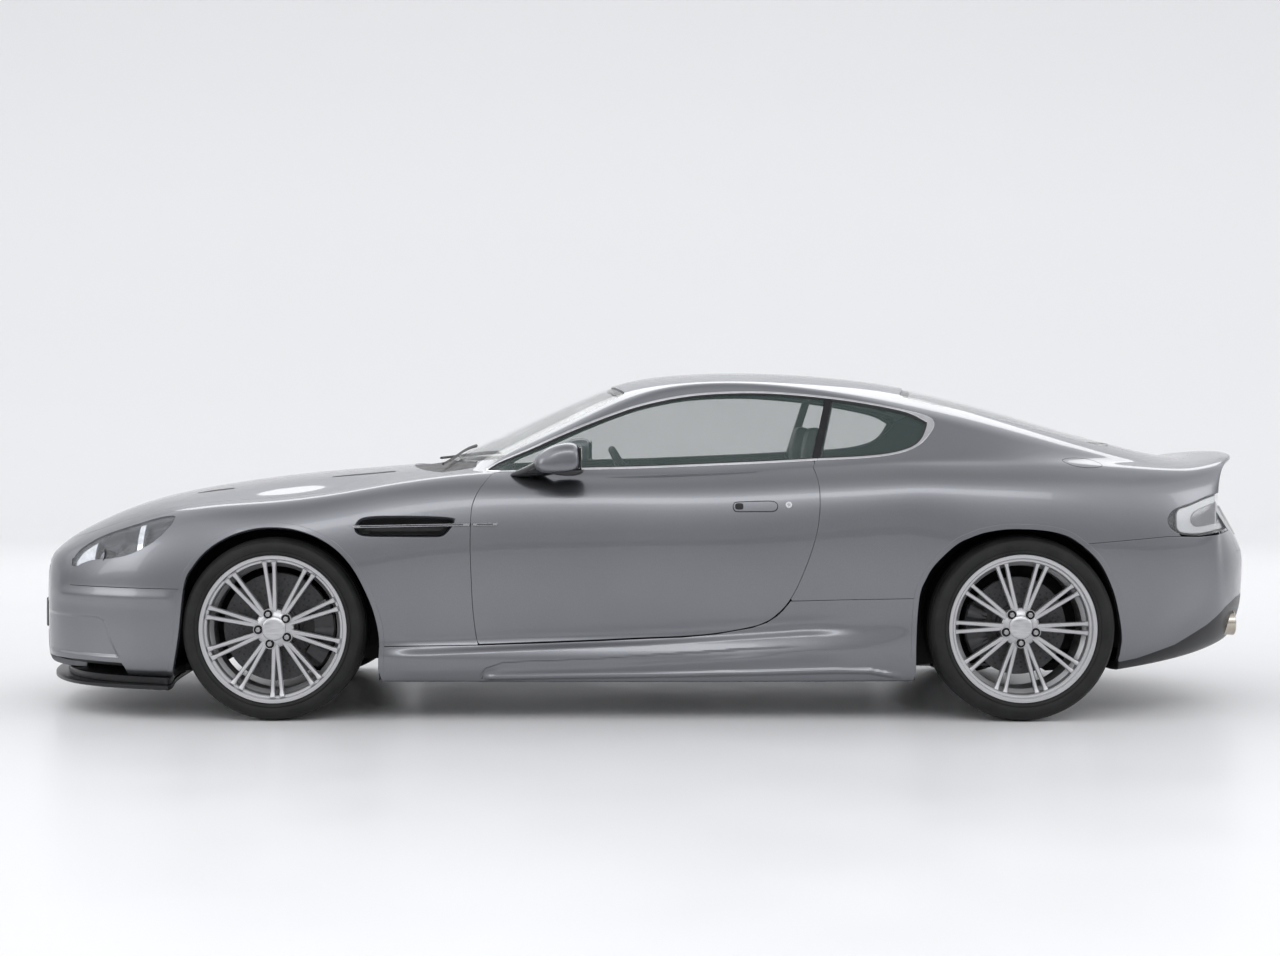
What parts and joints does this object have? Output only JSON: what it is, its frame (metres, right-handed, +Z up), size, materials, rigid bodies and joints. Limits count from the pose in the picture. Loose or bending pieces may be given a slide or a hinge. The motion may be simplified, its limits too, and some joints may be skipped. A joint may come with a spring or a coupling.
{
  "type": "coupe car",
  "caption": "Two-door grand touring coupe car with opening doors, bonnet and boot lid, turning wheels and working steering",
  "frame": {"origin": "middle of the footprint on the ground under the tyres", "axes": "-X is forward, +Y is the car's right side, +Z is up"},
  "size_m": [4.7319, 2, 1.2891],
  "materials": {
    "body_paint": "metallic clear coat",
    "window_glass": "lightly tinted",
    "lamp_clear": "clear",
    "lamp_rear": "clear with red inner",
    "tyre_rubber": "matte",
    "wheel_alloy": "satin silver",
    "disc_iron": "drilled dark",
    "black_composite": "woven gloss",
    "black_trim": "matte",
    "seat_leather": "soft grain",
    "wheel_leather": "smooth",
    "exhaust_steel": "polished tip",
    "grille_metal": "satin",
    "chassis_metal": "satin black",
    "engine_alloy": "cast",
    "blank_plate": "plain"
  },
  "bodies": {
    "body": {"floor_pan": "chassis_metal", "front_wing_left": "body_paint", "front_wing_right": "body_paint", "rear_quarter_left": "body_paint", "rear_quarter_right": "body_paint", "roof": "body_paint", "side_sills": "body_paint", "front_bumper": "body_paint", "splitter": "black_composite", "grille": "grille_metal", "rear_bumper": "body_paint", "diffuser": "black_composite", "windscreen": "window_glass", "rear_window": "window_glass", "quarter_windows": "window_glass", "headlamps": "lamp_clear", "tail_lamps": "lamp_rear", "cowl_panel": "black_trim", "engine_block": "engine_alloy", "dashboard": "black_trim", "front_seats": "seat_leather", "rear_seats": "seat_leather", "exhaust": "exhaust_steel", "front_subframe": "chassis_metal", "rear_subframe": "chassis_metal", "number_plate_front": "blank_plate"},
    "door_left_body": {"door_left": "body_paint", "door_glass_left": "window_glass", "mirror_left": "body_paint"},
    "door_right_body": {"door_right": "body_paint", "door_glass_right": "window_glass", "mirror_right": "body_paint"},
    "bonnet_body": {"bonnet": "body_paint"},
    "boot_lid_body": {"boot_lid": "body_paint", "number_plate_rear": "blank_plate"},
    "steering_wheel_body": {"steering_wheel": "wheel_leather"},
    "knuckle_left_body": {"knuckle_left": "chassis_metal"},
    "knuckle_right_body": {"knuckle_right": "chassis_metal"},
    "wheel_front_left": {"tyre_front_left": "tyre_rubber", "rim_front_left": "wheel_alloy", "brake_disc_front_left": "disc_iron"},
    "wheel_front_right": {"tyre_front_right": "tyre_rubber", "rim_front_right": "wheel_alloy", "brake_disc_front_right": "disc_iron"},
    "wheel_rear_left": {"tyre_rear_left": "tyre_rubber", "rim_rear_left": "wheel_alloy", "brake_disc_rear_left": "disc_iron"},
    "wheel_rear_right": {"tyre_rear_right": "tyre_rubber", "rim_rear_right": "wheel_alloy", "brake_disc_rear_right": "disc_iron"}
  },
  "joints": [
    {"name": "door_left_hinge", "type": "hinge", "parent": "body", "child": "door_left_body", "pos_m": [-0.622, -0.885, 0.61], "axis": [0, 0, -1], "range_deg": [0, 66]},
    {"name": "door_right_hinge", "type": "hinge", "parent": "body", "child": "door_right_body", "pos_m": [-0.622, 0.885, 0.61], "axis": [0, 0, 1], "range_deg": [0, 66]},
    {"name": "bonnet_hinge", "type": "hinge", "parent": "body", "child": "bonnet_body", "pos_m": [-0.65, 0, 0.88], "axis": [0, 1, 0], "range_deg": [0, 50]},
    {"name": "boot_lid_hinge", "type": "hinge", "parent": "body", "child": "boot_lid_body", "pos_m": [1.64, 0, 0.82], "axis": [0, -1, 0], "range_deg": [0, 62]},
    {"name": "steering_left", "type": "hinge", "parent": "body", "child": "knuckle_left_body", "pos_m": [-1.376, -0.73, 0.336], "axis": [0, 0, 1], "range_deg": [-32, 32]},
    {"name": "steering_right", "type": "hinge", "parent": "body", "child": "knuckle_right_body", "pos_m": [-1.376, 0.73, 0.336], "axis": [0, 0, 1], "range_deg": [-32.5, 32.5]},
    {"name": "steering_wheel_turn", "type": "hinge", "parent": "body", "child": "steering_wheel_body", "pos_m": [-0.06, -0.365, 0.842], "axis": [0.866, 0, 0.5], "range_deg": [-470, 470]},
    {"name": "wheel_front_left_spin", "type": "hinge", "parent": "knuckle_left_body", "child": "wheel_front_left", "pos_m": [-1.376, -0.79, 0.336], "axis": [0, 1, 0], "continuous": true},
    {"name": "wheel_front_right_spin", "type": "hinge", "parent": "knuckle_right_body", "child": "wheel_front_right", "pos_m": [-1.376, 0.79, 0.336], "axis": [0, 1, 0], "continuous": true},
    {"name": "wheel_rear_left_spin", "type": "hinge", "parent": "body", "child": "wheel_rear_left", "pos_m": [1.364, -0.784, 0.34], "axis": [0, 1, 0], "continuous": true},
    {"name": "wheel_rear_right_spin", "type": "hinge", "parent": "body", "child": "wheel_rear_right", "pos_m": [1.364, 0.784, 0.34], "axis": [0, 1, 0], "continuous": true}
  ],
  "couplings": [
    {"joint": "steering_right", "follows": "steering_left", "ratio": 1},
    {"joint": "steering_wheel_turn", "follows": "steering_left", "ratio": 14.5}
  ]
}
